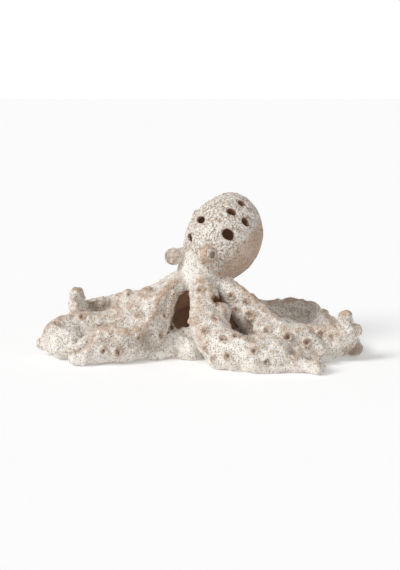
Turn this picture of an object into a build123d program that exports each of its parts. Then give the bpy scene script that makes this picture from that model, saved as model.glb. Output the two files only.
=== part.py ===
from build123d import *

import os
from dataclasses import dataclass
from math import cos, pi, radians, sin, tan

# Hand-built stoneware octopus ornament: a hollow pierced mantle on a hollow body cone, with eight arms.
# Millimetres, +Z up. The origin is on the table, under the middle of the ornament's bounding box.
# -Y is the side that the ornament is looked at from, +X is to the viewer's right.

# Body cone, from the table up to the shoulder
foot_radius = 50.0
waist_radius = 31.0
waist_height = 44.0
shoulder_radius = 25.0
shoulder_height = 70.0
cone_wall = 6.0

# Neck collar, from the shoulder up to the mantle
collar_height = 30.0
collar_top_radius = 17.0
collar_wall = 6.0

# Windows cut through the body cone between the front arms
window_sill = 28.0
window_head = 62.0
window_width = 24.0
window_corner = 8.0
window_bearings = (-121.0, -56.0)

# Mantle, an egg with its small end down in the collar
mantle_radius = 39.0
mantle_dome_length = 45.0
mantle_root_length = 46.0
mantle_wall = 5.0
mantle_rise = 41.0
mantle_shift_right = 22.5
mantle_shift_back = 12.0
mantle_tilt_right = 23.6
mantle_tilt_back = 26.6
mantle_throat = 22.0
oval_join = 45.0

# Holes pierced through the mantle: longitude and latitude in degrees, width as a share of pierce_width
pierce_width = 8.0
pierce_shares = (
    (-133, 0, 0.85),
    (-147, -28, 0.80),
    (-88, 23, 0.90),
    (-76, 46, 0.80),
    (-61, 18, 0.85),
    (-80, -11, 1.20),
    (-178, 20, 0.85),
    (130, 35, 0.90),
    (70, 30, 0.85),
    (20, 48, 0.80),
)

# Eyes: stub knobs with a pellet pressed into the end
eye_radius = 8.2
eye_stalk_radius = 5.6
eye_root = 9.0
eye_flat_share = 0.72
left_eye_stand_out = 13.0
right_eye_stand_out = 2.5
pupil_radius = 4.4
pupil_depth = 2.2
pupil_dome = 1.2
pupil_clearance = 0.25

# Arms: how far each one reaches from the neck, and how thick it is
root_height = 72.0
front_reach = 118.0
front_girth = 17.0
front_left_reach = 118.0
front_left_girth = 17.0
left_reach = 150.0
left_girth = 17.0
back_left_reach = 127.0
back_left_girth = 15.0
front_right_reach = 116.0
front_right_girth = 16.0
right_reach = 144.0
right_girth = 14.0
back_right_reach = 152.0
back_right_girth = 13.0
back_reach = 120.0
back_girth = 15.0

# Webs: clay smoothed into the gaps between the arms, and how far each one runs from the neck
web_girth = 16.0
web_front_left_reach = 70.0
web_front_right_reach = 128.0
web_right_reach = 132.0
web_right_back_reach = 90.0
web_back_right_reach = 70.0
web_back_left_reach = 72.0
web_left_back_reach = 78.0
web_left_reach = 120.0

# Tips: distance ahead of the last station and size, as shares of that station's half width and size
tip_rounding_shares = ((0.50, 0.87), (0.86, 0.50), (0.98, 0.20))

# Suckers: clay rings with a thumbed dimple, pressed onto the arms
sucker_radius = 4.0
sucker_proud = 1.8
sucker_root = 4.0
sucker_rim_share = 0.66
sucker_dimple_share = 0.75

# Cuts run past the faces that they open by this much
overrun = 2.0


@dataclass
class Eye:
    """Where an eye sits on the mantle in degrees, how far it stands out and which way it looks."""

    longitude: float
    latitude: float
    stand_out: float
    look: tuple


@dataclass
class Arm:
    """One arm, as stations from the collar to the tip.

    path_shares rows: right and back as shares of reach, height as a share of root_height,
    half width and half height as shares of girth.
    sucker_shares rows: place along the stations from 0 to 1, turn round the arm in degrees,
    where 90 is the top and 0 is the left of someone who walks out along the arm,
    and radius as a share of sucker_radius.
    scoop_shares rows: middle of a thumbed scoop, right and back as shares of reach and height as a share
    of root_height, and radius as a share of girth.
    """

    reach: float
    girth: float
    path_shares: tuple
    sucker_shares: tuple
    scoop_shares: tuple = ()


@dataclass
class Web:
    """One web, as stations from the body out along a gap, in path_shares rows like those of an arm."""

    reach: float
    path_shares: tuple
    girth: float = web_girth


eyes = {
    "left": Eye(-162, -47, left_eye_stand_out, (-0.90, -0.40, 0.12)),
    "right": Eye(-98, -46, right_eye_stand_out, (0.62, -0.76, 0.16)),
}

arms = {
    "front": Arm(
        reach=front_reach,
        girth=front_girth,
        path_shares=(
            (0.02, -0.08, 1.00, 0.70, 0.70),
            (0.03, -0.22, 0.83, 0.78, 0.80),
            (0.05, -0.36, 0.62, 0.88, 0.95),
            (0.08, -0.50, 0.42, 0.98, 1.10),
            (0.15, -0.63, 0.27, 1.05, 1.15),
            (0.29, -0.73, 0.20, 1.05, 1.05),
            (0.47, -0.78, 0.17, 1.00, 1.00),
            (0.66, -0.79, 0.15, 0.88, 0.92),
            (0.81, -0.82, 0.13, 0.70, 0.72),
            (0.91, -0.89, 0.09, 0.46, 0.48),
        ),
        sucker_shares=(
            (0.15, 110, 1.1),
            (0.30, 150, 0.8),
            (0.35, 80, 1.2),
            (0.40, 125, 1.0),
            (0.45, 160, 0.8),
            (0.50, 110, 0.9),
            (0.50, 175, 1.0),
            (0.55, 85, 0.9),
            (0.55, 150, 1.0),
            (0.65, 120, 1.0),
            (0.70, 150, 0.8),
            (0.85, 110, 0.8),
        ),
    ),
    "front_left": Arm(
        reach=front_left_reach,
        girth=front_left_girth,
        path_shares=(
            (-0.09, -0.07, 1.00, 0.62, 0.65),
            (-0.24, -0.15, 0.82, 0.66, 0.72),
            (-0.34, -0.26, 0.62, 0.74, 0.88),
            (-0.42, -0.37, 0.43, 0.86, 1.06),
            (-0.53, -0.45, 0.29, 0.98, 1.15),
            (-0.67, -0.49, 0.22, 1.05, 1.08),
            (-0.80, -0.52, 0.19, 1.00, 1.00),
            (-0.92, -0.55, 0.15, 0.80, 0.82),
            (-1.00, -0.61, 0.11, 0.50, 0.52),
        ),
        sucker_shares=(
            (0.25, 90, 0.9),
            (0.30, 0, 0.9),
            (0.40, 75, 1.1),
            (0.40, -25, 1.0),
            (0.50, 15, 1.0),
            (0.65, -5, 1.1),
            (0.75, 5, 1.0),
        ),
    ),
    "left": Arm(
        reach=left_reach,
        girth=left_girth,
        path_shares=(
            (-0.06, -0.02, 1.00, 0.65, 0.65),
            (-0.18, -0.05, 0.82, 0.74, 0.76),
            (-0.33, -0.08, 0.62, 0.80, 0.84),
            (-0.48, -0.10, 0.43, 0.86, 0.95),
            (-0.63, -0.11, 0.30, 0.92, 1.05),
            (-0.78, -0.12, 0.27, 1.00, 1.10),
            (-0.89, -0.17, 0.25, 0.94, 1.08),
            (-0.94, -0.26, 0.21, 0.70, 0.95),
            (-0.88, -0.34, 0.17, 0.56, 0.74),
            (-0.78, -0.34, 0.13, 0.40, 0.48),
        ),
        sucker_shares=(
            (0.20, 90, 1.1),
            (0.35, 80, 0.8),
            (0.55, 70, 0.9),
            (0.75, 80, 0.9),
        ),
    ),
    "back_left": Arm(
        reach=back_left_reach,
        girth=back_left_girth,
        path_shares=(
            (-0.07, 0.05, 1.00, 0.72, 0.72),
            (-0.22, 0.18, 0.80, 0.80, 0.82),
            (-0.36, 0.34, 0.57, 0.88, 0.95),
            (-0.48, 0.50, 0.40, 0.94, 1.10),
            (-0.60, 0.64, 0.34, 0.96, 1.15),
            (-0.73, 0.73, 0.26, 0.90, 1.10),
            (-0.87, 0.72, 0.23, 0.80, 1.00),
            (-0.97, 0.62, 0.25, 0.66, 0.85),
            (-1.00, 0.52, 0.40, 0.58, 0.60),
            (-1.00, 0.47, 0.58, 0.46, 0.46),
        ),
        sucker_shares=(
            (0.35, 60, 0.9),
            (0.45, 60, 0.9),
        ),
        scoop_shares=((-0.83, 0.58, 0.45, 1.13),),
    ),
    "front_right": Arm(
        reach=front_right_reach,
        girth=front_right_girth,
        path_shares=(
            (0.11, -0.05, 0.98, 0.64, 0.68),
            (0.27, -0.12, 0.80, 0.68, 0.76),
            (0.37, -0.19, 0.62, 0.78, 0.90),
            (0.47, -0.27, 0.46, 0.90, 1.02),
            (0.57, -0.35, 0.33, 1.00, 1.15),
            (0.69, -0.43, 0.27, 1.02, 1.15),
            (0.81, -0.50, 0.23, 0.92, 1.05),
            (0.92, -0.55, 0.18, 0.70, 0.80),
            (0.99, -0.60, 0.14, 0.45, 0.55),
        ),
        sucker_shares=(
            (0.15, 165, 0.9),
            (0.25, 135, 0.9),
            (0.25, 185, 0.8),
            (0.35, 160, 1.4),
            (0.55, 165, 1.2),
            (0.70, 155, 1.1),
            (0.85, 150, 1.0),
        ),
    ),
    "right": Arm(
        reach=right_reach,
        girth=right_girth,
        path_shares=(
            (0.06, 0.00, 0.94, 0.78, 0.78),
            (0.19, 0.02, 0.74, 0.86, 0.88),
            (0.31, 0.02, 0.56, 0.92, 0.95),
            (0.43, 0.00, 0.38, 0.95, 1.00),
            (0.55, -0.06, 0.24, 1.00, 1.05),
            (0.69, -0.17, 0.19, 1.00, 1.02),
            (0.82, -0.28, 0.18, 0.98, 1.00),
            (0.93, -0.36, 0.22, 0.84, 0.88),
            (0.985, -0.38, 0.39, 0.66, 0.66),
            (0.975, -0.37, 0.57, 0.54, 0.54),
        ),
        sucker_shares=(
            (0.40, 150, 0.8),
            (0.70, 150, 1.0),
            (0.80, 165, 0.9),
        ),
    ),
    "back_right": Arm(
        reach=back_right_reach,
        girth=back_right_girth,
        path_shares=(
            (0.06, 0.05, 0.94, 0.80, 0.80),
            (0.17, 0.15, 0.70, 0.88, 0.90),
            (0.29, 0.28, 0.43, 0.92, 1.05),
            (0.41, 0.39, 0.28, 0.94, 1.20),
            (0.54, 0.45, 0.26, 0.96, 1.40),
            (0.68, 0.43, 0.25, 0.96, 1.40),
            (0.80, 0.33, 0.20, 0.92, 1.15),
            (0.88, 0.19, 0.14, 0.84, 0.90),
            (0.94, 0.03, 0.12, 0.74, 0.80),
            (0.98, -0.13, 0.11, 0.62, 0.65),
            (1.00, -0.25, 0.10, 0.52, 0.55),
        ),
        sucker_shares=(
            (0.40, 50, 0.9),
            (0.55, 50, 0.9),
        ),
        scoop_shares=((0.62, 0.28, 0.50, 2.0),),
    ),
    "back": Arm(
        reach=back_reach,
        girth=back_girth,
        path_shares=(
            (0.00, 0.08, 1.00, 0.72, 0.72),
            (-0.02, 0.24, 0.80, 0.80, 0.82),
            (-0.03, 0.40, 0.58, 0.88, 0.95),
            (-0.01, 0.56, 0.38, 0.96, 1.08),
            (0.04, 0.72, 0.25, 1.00, 1.10),
            (0.12, 0.86, 0.19, 0.98, 1.02),
            (0.25, 0.97, 0.17, 0.90, 0.95),
            (0.40, 0.98, 0.15, 0.74, 0.80),
            (0.50, 0.89, 0.13, 0.58, 0.62),
            (0.50, 0.78, 0.11, 0.42, 0.46),
        ),
        sucker_shares=(
            (0.40, 90, 1.0),
            (0.55, 70, 1.0),
            (0.70, 100, 0.9),
        ),
    ),
}

webs = {
    "front_left": Web(
        reach=web_front_left_reach,
        path_shares=(
            (-0.20, -0.30, 0.30, 0.80, 0.80),
            (-0.40, -0.46, 0.14, 1.00, 0.95),
            (-0.58, -0.58, 0.06, 0.85, 0.80),
        ),
    ),
    "front_right": Web(
        reach=web_front_right_reach,
        path_shares=(
            (0.18, -0.30, 0.19, 0.70, 0.75),
            (0.33, -0.45, 0.15, 0.90, 0.95),
            (0.50, -0.53, 0.12, 0.95, 1.00),
            (0.66, -0.58, 0.10, 0.90, 0.95),
            (0.78, -0.63, 0.09, 0.70, 0.75),
        ),
    ),
    "right": Web(
        reach=web_right_reach,
        path_shares=(
            (0.32, -0.07, 0.30, 0.75, 0.85),
            (0.47, -0.15, 0.20, 0.95, 1.05),
            (0.62, -0.23, 0.13, 1.00, 1.10),
            (0.76, -0.32, 0.10, 0.95, 1.00),
            (0.88, -0.42, 0.08, 0.75, 0.80),
        ),
    ),
    "right_back": Web(
        reach=web_right_back_reach,
        path_shares=(
            (0.42, 0.18, 0.26, 0.80, 0.85),
            (0.62, 0.24, 0.12, 1.00, 0.95),
            (0.82, 0.25, 0.06, 0.90, 0.75),
        ),
    ),
    "back_right": Web(
        reach=web_back_right_reach,
        path_shares=(
            (0.28, 0.48, 0.28, 0.80, 0.85),
            (0.40, 0.68, 0.13, 1.00, 0.95),
            (0.50, 0.86, 0.06, 0.85, 0.75),
        ),
    ),
    "back_left": Web(
        reach=web_back_left_reach,
        path_shares=(
            (-0.33, 0.46, 0.28, 0.80, 0.85),
            (-0.44, 0.68, 0.13, 1.00, 0.95),
            (-0.50, 0.86, 0.06, 0.85, 0.75),
        ),
    ),
    "left_back": Web(
        reach=web_left_back_reach,
        path_shares=(
            (-0.48, 0.10, 0.30, 0.85, 0.90),
            (-0.74, 0.18, 0.15, 1.10, 1.00),
            (-0.97, 0.24, 0.07, 0.95, 0.80),
        ),
    ),
    "left": Web(
        reach=web_left_reach,
        path_shares=(
            (-0.30, -0.14, 0.42, 0.75, 0.80),
            (-0.48, -0.25, 0.25, 0.95, 1.05),
            (-0.68, -0.31, 0.15, 1.05, 1.10),
            (-0.87, -0.31, 0.12, 1.10, 1.05),
            (-1.00, -0.29, 0.12, 0.95, 0.90),
        ),
    ),
}


def turned(*edges):
    """The solid that a closed half outline, drawn with X as radius and Y as height, sweeps round Z."""
    return revolve(Plane.XZ * make_face(edges), Axis.Z)


def turned_outline(*points):
    """The same, from the corners of the half outline."""
    return turned(*Polyline(*points, close=True).edges())


# Body cone and neck collar

collar_top = shoulder_height + collar_height


def core_filled():
    """The body cone and the neck collar as one filled form, which the other pieces are fitted to."""
    return turned_outline(
        (0, 0),
        (foot_radius, 0),
        (waist_radius, waist_height),
        (shoulder_radius, shoulder_height),
        (collar_top_radius, collar_top),
        (0, collar_top),
    )


def window_cutter(bearing):
    """An upright opening with round corners, from the axis out through the cone's wall."""
    tall = window_head - window_sill
    outline = RectangleRounded(window_width, tall, window_corner)
    facing = Vector(cos(radians(bearing)), sin(radians(bearing)), 0)
    place = Plane(origin=(0, 0, window_sill + tall / 2), x_dir=facing.cross(Vector(0, 0, 1)), z_dir=facing)
    return extrude(place * outline, foot_radius + overrun)


def body_cone():
    shell = turned_outline(
        (foot_radius - cone_wall, 0),
        (foot_radius, 0),
        (waist_radius, waist_height),
        (shoulder_radius, shoulder_height),
        (shoulder_radius - cone_wall, shoulder_height),
        (waist_radius - cone_wall, waist_height),
    )
    for bearing in window_bearings:
        shell -= window_cutter(bearing)
    return shell - egg(0)


def neck_collar():
    ring = turned_outline(
        (shoulder_radius - collar_wall, shoulder_height),
        (shoulder_radius, shoulder_height),
        (collar_top_radius, collar_top),
        (collar_top_radius - collar_wall, collar_top),
    )
    return ring - egg(0)


# Mantle


def mantle_plane():
    """The mantle's own frame: origin at its widest ring's centre, Z along its length."""
    centre = Vector(mantle_shift_right, mantle_shift_back, shoulder_height + mantle_rise)
    along = Vector(tan(radians(mantle_tilt_right)), tan(radians(mantle_tilt_back)), 1).normalized()
    return Plane(origin=centre, x_dir=Vector(1, 0, 0) - along * along.X, z_dir=along)


def oval_arcs(radius, length, way):
    """A quarter oval from the widest ring to the end on the axis, up or down, as two tangent arcs."""
    join = radians(oval_join)
    offset = (length - radius) / (tan(join) + 1 - 1 / cos(join))
    flank = radius + offset
    cap = flank - offset / cos(join)
    flank_points = [(flank * cos(turn) - offset, way * flank * sin(turn)) for turn in (0, join / 2, join)]
    mid = (join + pi / 2) / 2
    cap_middle = (cap * cos(mid), way * (offset * tan(join) + cap * sin(mid)))
    return ThreePointArc(*flank_points), ThreePointArc(flank_points[-1], cap_middle, (0, way * length))


def egg(inset):
    """An egg of revolution on the mantle's frame, moved in by inset all round."""
    radius = mantle_radius - inset
    dome = mantle_dome_length - inset
    root = mantle_root_length - inset
    form = turned(*oval_arcs(radius, dome, 1), *oval_arcs(radius, root, -1), Line((0, dome), (0, -root)))
    return mantle_plane() * form


def mantle_direction(longitude, latitude):
    """A direction from the mantle's centre, in the ornament's frame."""
    frame = mantle_plane()
    level = cos(radians(latitude))
    right = frame.x_dir * (cos(radians(longitude)) * level)
    back = frame.y_dir * (sin(radians(longitude)) * level)
    return right + back + frame.z_dir * sin(radians(latitude))


def mantle_surface(longitude, latitude):
    """The point of the mantle's outside in that direction from its centre."""
    length = mantle_root_length if latitude < 0 else mantle_dome_length
    across = cos(radians(latitude)) / mantle_radius
    along = sin(radians(latitude)) / length
    distance = (across**2 + along**2) ** -0.5
    return mantle_plane().origin + mantle_direction(longitude, latitude) * distance


def mantle_shell():
    frame = mantle_plane()
    shell = egg(0) - egg(mantle_wall)
    past = max(mantle_dome_length, mantle_root_length) + overrun
    for longitude, latitude, width_share in pierce_shares:
        way = Plane(origin=frame.origin, z_dir=mantle_direction(longitude, latitude))
        shell -= extrude(way * Circle(width_share * pierce_width / 2), past)
    throat = Plane(origin=frame.origin, z_dir=frame.z_dir * -1)
    return shell - extrude(throat * Circle(mantle_throat / 2), past)


# Eyes


def eye_places(eye):
    """The seat on the mantle, the way out of it, the ball's centre and the way that the eye looks."""
    seat = mantle_surface(eye.longitude, eye.latitude)
    outward = mantle_direction(eye.longitude, eye.latitude)
    return seat, outward, seat + outward * eye.stand_out, Vector(*eye.look).normalized()


def eye_knob(eye, core):
    """A ball on a stalk, cut flat at the end and bored for its pupil pellet."""
    seat, outward, centre, look = eye_places(eye)
    neck = eye.stand_out - (eye_radius**2 - eye_stalk_radius**2) ** 0.5
    end = eye.stand_out + eye_radius
    form = turned(
        Line((0, -eye_root), (eye_stalk_radius, -eye_root)),
        Line((eye_stalk_radius, -eye_root), (eye_stalk_radius, neck)),
        ThreePointArc((eye_stalk_radius, neck), (eye_radius, eye.stand_out), (0, end)),
        Line((0, end), (0, -eye_root)),
    )
    knob = Plane(origin=seat, z_dir=outward) * form - core - egg(0)
    face = Plane(origin=centre + look * (eye_flat_share * eye_radius), z_dir=look)
    knob -= extrude(face * Circle(eye_radius + overrun), eye_radius + overrun)
    recess = Plane(origin=face.origin - look * pupil_depth, z_dir=look)
    return knob - extrude(recess * Circle(pupil_radius + pupil_clearance), pupil_depth + overrun)


def pupil(eye):
    """A pellet on the floor of the eye's recess, with a domed face."""
    _, _, centre, look = eye_places(eye)
    floor = Plane(origin=centre + look * (eye_flat_share * eye_radius - pupil_depth), z_dir=look)
    pellet = turned(
        Line((0, 0), (pupil_radius, 0)),
        Line((pupil_radius, 0), (pupil_radius, pupil_depth)),
        TangentArc((0, pupil_depth + pupil_dome), (pupil_radius, pupil_depth), tangent=(1, 0)),
        Line((0, pupil_depth + pupil_dome), (0, 0)),
    )
    return floor * pellet


# Arms


def eased_shares(rows):
    """The path's rows with one more between each two, on a smooth curve through them."""
    last = len(rows) - 1
    eased = []
    for index in range(last):
        here = rows[index]
        onward = rows[index + 1]
        before = rows[max(index - 1, 0)]
        beyond = rows[min(index + 2, last)]
        eased.append(here)
        eased.append(tuple((9 * (b + c) - a - d) / 16 for a, b, c, d in zip(before, here, onward, beyond)))
    eased.append(rows[last])
    return eased


def arm_stations(arm):
    """Centre, side direction, tangent, half width and half height of each section."""
    rows = eased_shares(arm.path_shares)
    centres = [Vector(row[0] * arm.reach, row[1] * arm.reach, row[2] * root_height) for row in rows]
    last = len(rows) - 1
    side = None
    stations = []
    for index, row in enumerate(rows):
        tangent = (centres[min(index + 1, last)] - centres[max(index - 1, 0)]).normalized()
        guide = Vector(0, 0, 1).cross(tangent) if side is None else side
        side = (guide - tangent * guide.dot(tangent)).normalized()
        stations.append((centres[index], side, tangent, row[3] * arm.girth, row[4] * arm.girth))
    return stations


def arm_section(centre, side, tangent, half_wide, half_tall):
    """An ellipse as four quarter arcs."""
    place = Plane(origin=centre, x_dir=side, z_dir=tangent)
    starts = (45, 135, 225, 315)
    return Wire([Edge.make_ellipse(half_wide, half_tall, place, start, start + 90) for start in starts])


def arm_blank(arm):
    """The whole arm with a rounded tip, standing on the table."""
    stations = arm_stations(arm)
    centre, side, tangent, half_wide, half_tall = stations[-1]
    for ahead_share, size_share in tip_rounding_shares:
        tip = centre + tangent * (ahead_share * half_wide)
        stations.append((tip, side, tangent, size_share * half_wide, size_share * half_tall))
    blank = Solid.make_loft([arm_section(*station) for station in stations], ruled=True)
    return split(blank, Plane.XY, keep=Keep.TOP)


def near(one, other):
    """Whether two solids' boxes meet."""
    a = one.bounding_box()
    b = other.bounding_box()
    gaps = (a.min - b.max, b.min - a.max)
    return all(gap.X <= 0 and gap.Y <= 0 and gap.Z <= 0 for gap in gaps)


def fitted(piece, neighbours):
    """The piece with its neighbours' room taken out of it."""
    for neighbour in neighbours:
        if near(piece, neighbour):
            piece = piece - neighbour
    return piece


def scoop_tools(arm):
    """The round tools that press the arm's scoops."""
    tools = []
    for right_share, back_share, height_share, radius_share in arm.scoop_shares:
        place = Pos(right_share * arm.reach, back_share * arm.reach, height_share * root_height)
        tools.append(place * Sphere(radius_share * arm.girth))
    return tools


def web_pad(web, room):
    """What fills the gap: the largest part of the web that its neighbours leave."""
    return fitted(arm_blank(web), room).solids().sort_by(SortBy.VOLUME)[-1]


# Suckers


def sucker_ring(radius):
    """One sucker on the XY plane, with its root below."""
    rim = sucker_rim_share * radius
    floor = sucker_proud * (1 - sucker_dimple_share)
    return turned(
        Line((0, -sucker_root), (radius, -sucker_root)),
        Line((radius, -sucker_root), (radius, 0)),
        TangentArc((radius, 0), (rim, sucker_proud), tangent=(0, 1)),
        TangentArc((0, floor), (rim, sucker_proud), tangent=(1, 0)),
        Line((0, floor), (0, -sucker_root)),
    )


def sucker_plane(arm, along_share, turn):
    """The place on the arm's skin at that share of its length and turn round it, facing out."""
    stations = arm_stations(arm)
    spot = along_share * (len(stations) - 1)
    index = min(int(spot), len(stations) - 2)
    blend = spot - index
    centre, side, tangent, half_wide, half_tall = (
        here * (1 - blend) + onward * blend for here, onward in zip(stations[index], stations[index + 1])
    )
    up = tangent.cross(side)
    skin = centre + side * (half_wide * cos(radians(turn))) + up * (half_tall * sin(radians(turn)))
    outward = side * (cos(radians(turn)) / half_wide) + up * (sin(radians(turn)) / half_tall)
    return Plane(origin=skin, z_dir=outward)


def sucker_group(arm, room):
    """All of an arm's suckers, seated on its skin and clear of the other arms and the webs."""
    rings = []
    for along_share, turn, radius_share in arm.sucker_shares:
        ring = sucker_plane(arm, along_share, turn) * sucker_ring(radius_share * sucker_radius)
        rings.extend(fitted(ring, room).solids())
    return Compound(rings)


# Build


def octopus():
    """Every piece by name, each fitted to those made before it."""
    core = core_filled()
    pieces = {"mantle_shell": mantle_shell(), "neck_collar": neck_collar(), "body_cone": body_cone()}
    for side, eye in eyes.items():
        pieces[f"eye_{side}"] = eye_knob(eye, core)
        pieces[f"pupil_{side}"] = pupil(eye)
    limbs = []
    for name, arm in arms.items():
        limb = fitted(arm_blank(arm), [core, egg(0)] + scoop_tools(arm) + limbs)
        limbs.append(limb)
        pieces[f"arm_{name}"] = limb
    pads = []
    for name, web in webs.items():
        pad = web_pad(web, [core] + limbs + pads)
        pads.append(pad)
        pieces[f"web_{name}"] = pad
    for name, arm in arms.items():
        pieces[f"suckers_{name}"] = sucker_group(arm, limbs + pads)
    return pieces


def main():
    os.makedirs("parts", exist_ok=True)
    pieces = octopus()
    box = Compound(list(pieces.values())).bounding_box()
    home = Pos(-box.center().X, -box.center().Y, 0)
    print("size", box.size, "moved by", home.position)
    for name, piece in pieces.items():
        export_step(home * piece, f"parts/{name}.step")


main()
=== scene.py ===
import math

import bpy
import numpy as np
from mathutils import Matrix, Vector
from mathutils.bvhtree import BVHTree
from mathutils.kdtree import KDTree


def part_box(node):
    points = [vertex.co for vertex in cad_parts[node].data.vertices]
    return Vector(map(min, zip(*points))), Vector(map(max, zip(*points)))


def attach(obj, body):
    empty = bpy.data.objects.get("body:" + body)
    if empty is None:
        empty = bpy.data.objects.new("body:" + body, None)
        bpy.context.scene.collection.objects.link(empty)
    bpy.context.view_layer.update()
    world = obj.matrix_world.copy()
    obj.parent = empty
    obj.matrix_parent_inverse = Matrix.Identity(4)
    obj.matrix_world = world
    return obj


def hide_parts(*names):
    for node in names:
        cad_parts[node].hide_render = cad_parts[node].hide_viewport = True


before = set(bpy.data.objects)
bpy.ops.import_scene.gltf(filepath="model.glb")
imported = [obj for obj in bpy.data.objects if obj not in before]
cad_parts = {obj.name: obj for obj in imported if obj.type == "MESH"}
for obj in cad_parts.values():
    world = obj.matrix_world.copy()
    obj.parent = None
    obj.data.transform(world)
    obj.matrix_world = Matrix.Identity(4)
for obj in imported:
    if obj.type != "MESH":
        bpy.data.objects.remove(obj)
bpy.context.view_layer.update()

mm = 0.001
weld = 0.002  # CAD vertices nearer than this, in millimetres, are one
around = {"hole": 40, "lump": 48, "pellet": 48}  # sides of each round shape
neck = Vector((-2.855, -9.071, 0)) * mm  # foot of the neck axis


def placed(x, y, z):
    # millimetres from the foot of the neck axis to metres in the frame
    return neck + Vector((x, y, z)) * mm


def focus(piece):
    bpy.ops.object.select_all(action="DESELECT")
    piece.select_set(True)
    bpy.context.view_layer.objects.active = piece


def joinAll(group):
    focus(group[0])
    for piece in group:
        piece.select_set(True)
    bpy.ops.object.join()
    return group[0]


def applied(piece, kind, **settings):
    focus(piece)
    modifier = piece.modifiers.new(kind.title(), kind)
    for key, value in settings.items():
        setattr(modifier, key, value)
    bpy.ops.object.modifier_apply(modifier=modifier.name)


def roughened(piece, layerName, size, high, where="", depth=2, middle=0.5):
    # raise and sink the surface by cloudy noise, inside a vertex group if one is named
    texture = bpy.data.textures.new(layerName, "CLOUDS")
    texture.noise_scale = size * mm
    texture.noise_depth = depth
    applied(piece, "DISPLACE", texture=texture, strength=high * mm, mid_level=middle,
            texture_coords="LOCAL", vertex_group=where)


def masked(piece, groupName, weights, grades=24):
    group = piece.vertex_groups.new(name=groupName)
    graded = np.round(np.clip(weights, 0, 1) * grades).astype(int)
    for grade in range(1, grades + 1):
        group.add(np.flatnonzero(graded == grade).tolist(), grade / grades, "REPLACE")
    return groupName


def readPoints(piece, what="co"):
    values = np.zeros(len(piece.data.vertices) * 3, np.float32)
    piece.data.vertices.foreach_get(what, values)
    return values.reshape(-1, 3).astype(float)


def writePoints(piece, points):
    piece.data.vertices.foreach_set("co", points.astype(np.float32).ravel())
    piece.data.update()


def fade(values, limits, unit=1):
    # 0 below the first limit, 1 past the second and smooth between
    low, high = limits[0] * unit, limits[1] * unit
    t = np.clip((values - low) / (high - low), 0, 1)
    return t * t * (3 - 2 * t)


# The clay: copies of the CAD nodes, swollen a little so that neighbours meet (millimetres)
clay = {"swell": 0.4, "voxel": 0.9}
clayNodes = sorted(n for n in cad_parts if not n.startswith(("suckers_", "pupil_")))
copies = []
for nodeName in clayNodes:
    copy = bpy.data.objects.new(nodeName + "Clay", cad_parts[nodeName].data.copy())
    bpy.context.scene.collection.objects.link(copy)
    copy.data.materials.clear()
    focus(copy)
    bpy.ops.object.mode_set(mode="EDIT")
    bpy.ops.mesh.select_all(action="SELECT")
    bpy.ops.mesh.remove_doubles(threshold=weld * mm)
    bpy.ops.transform.shrink_fatten(value=clay["swell"] * mm)
    bpy.ops.object.mode_set(mode="OBJECT")
    copies.append(copy)
print("clay copies", len(copies))

# The photograph's camera in millimetres, degrees and pixels. middle shows the foot of the neck axis,
# and the camera points by raise above it
lens = {"distance": 1500, "elevation": 13, "sensor": 36,
        "middle": (200, 348), "raise": 63, "pictureHigh": 570}
tilt = math.radians(lens["elevation"])
sightAxis = Vector((0, math.cos(tilt), -math.sin(tilt)))
pictureUp = Vector((0, math.sin(tilt), math.cos(tilt)))
viewPoint = neck - lens["distance"] * mm * sightAxis


def sightLine(across, down):
    # which way the camera looks at a pixel
    aside, above = across - lens["middle"][0], lens["middle"][1] - down
    return (lens["distance"] * sightAxis + Vector((aside, 0, 0)) + above * pictureUp).normalized()


# Holes pierced into the mantle and windows cut to the hollow body: the pixel that shows the middle,
# half sizes across and up and the depth in millimetres, lean in degrees. A window starts at front,
# measured from the neck, and a hole's cutter stands out of the mantle by cutBefore
cuts = {
    "holeLeft": {"spot": (199, 218), "half": (4.0, 3.4), "lean": 30, "deep": 13},
    "holeEdge": {"spot": (189, 237), "half": (3.2, 3.8), "lean": 0, "deep": 13},
    "holeTop": {"spot": (232, 210), "half": (4.2, 3.4), "lean": -25, "deep": 13},
    "holeRight": {"spot": (246, 221), "half": (3.6, 4.2), "lean": 20, "deep": 13},
    "holeFront": {"spot": (228, 234), "half": (5.3, 4.8), "lean": 0, "deep": 13},
    "holeHigh": {"spot": (242, 202), "half": (3.8, 3.0), "lean": -25, "deep": 13},
    "windowLeft": {"spot": (181, 311), "half": (6.5, 16.5), "lean": -10, "deep": 36, "front": -40},
    "windowRight": {"spot": (223, 314), "half": (6.0, 19.5), "lean": 31, "deep": 48, "front": -54},
}
cutBefore = 8
low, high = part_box("mantle_shell")
mantleMiddle, mantleHalf = np.array((low + high) / 2), np.array((high - low) / 2)


def metMantle(forward):
    # where a line from the camera first meets the egg that fills the mantle's box
    offset, pace = (np.array(viewPoint) - mantleMiddle) / mantleHalf, np.array(forward) / mantleHalf
    underRoot = max((offset @ pace) ** 2 - (pace @ pace) * (offset @ offset - 1), 0)
    return viewPoint + forward * ((-(offset @ pace) - math.sqrt(underRoot)) / (pace @ pace))


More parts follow.
